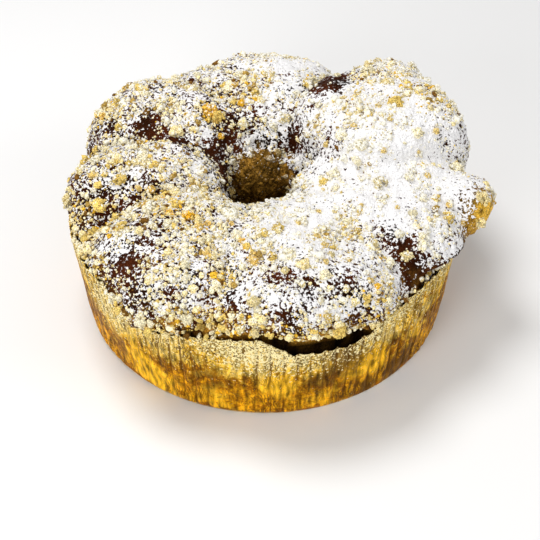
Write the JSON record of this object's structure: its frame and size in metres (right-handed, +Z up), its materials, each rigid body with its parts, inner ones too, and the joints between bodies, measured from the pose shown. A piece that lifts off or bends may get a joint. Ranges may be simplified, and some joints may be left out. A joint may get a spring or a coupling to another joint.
{
  "type": "round babka",
  "caption": "Round twisted yeast loaf with a centre hole, streusel crumbs and icing sugar, in the pleated paper case it was baked in.",
  "frame": {"origin": "centre of the flat round base of the paper case, on the surface that it stands on", "axes": "+Z up; -Y towards the side that the picture shows as the front; +X to the right of that view"},
  "size_m": [0.2389, 0.2352, 0.1133],
  "materials": {
    "babka": "rough dusted crust and crumb topping",
    "paper_case": "thin greaseproof baking paper, darkened by butter"
  },
  "bodies": {
    "root": {"babka": "babka", "paper_case": "paper_case"}
  },
  "joints": []
}
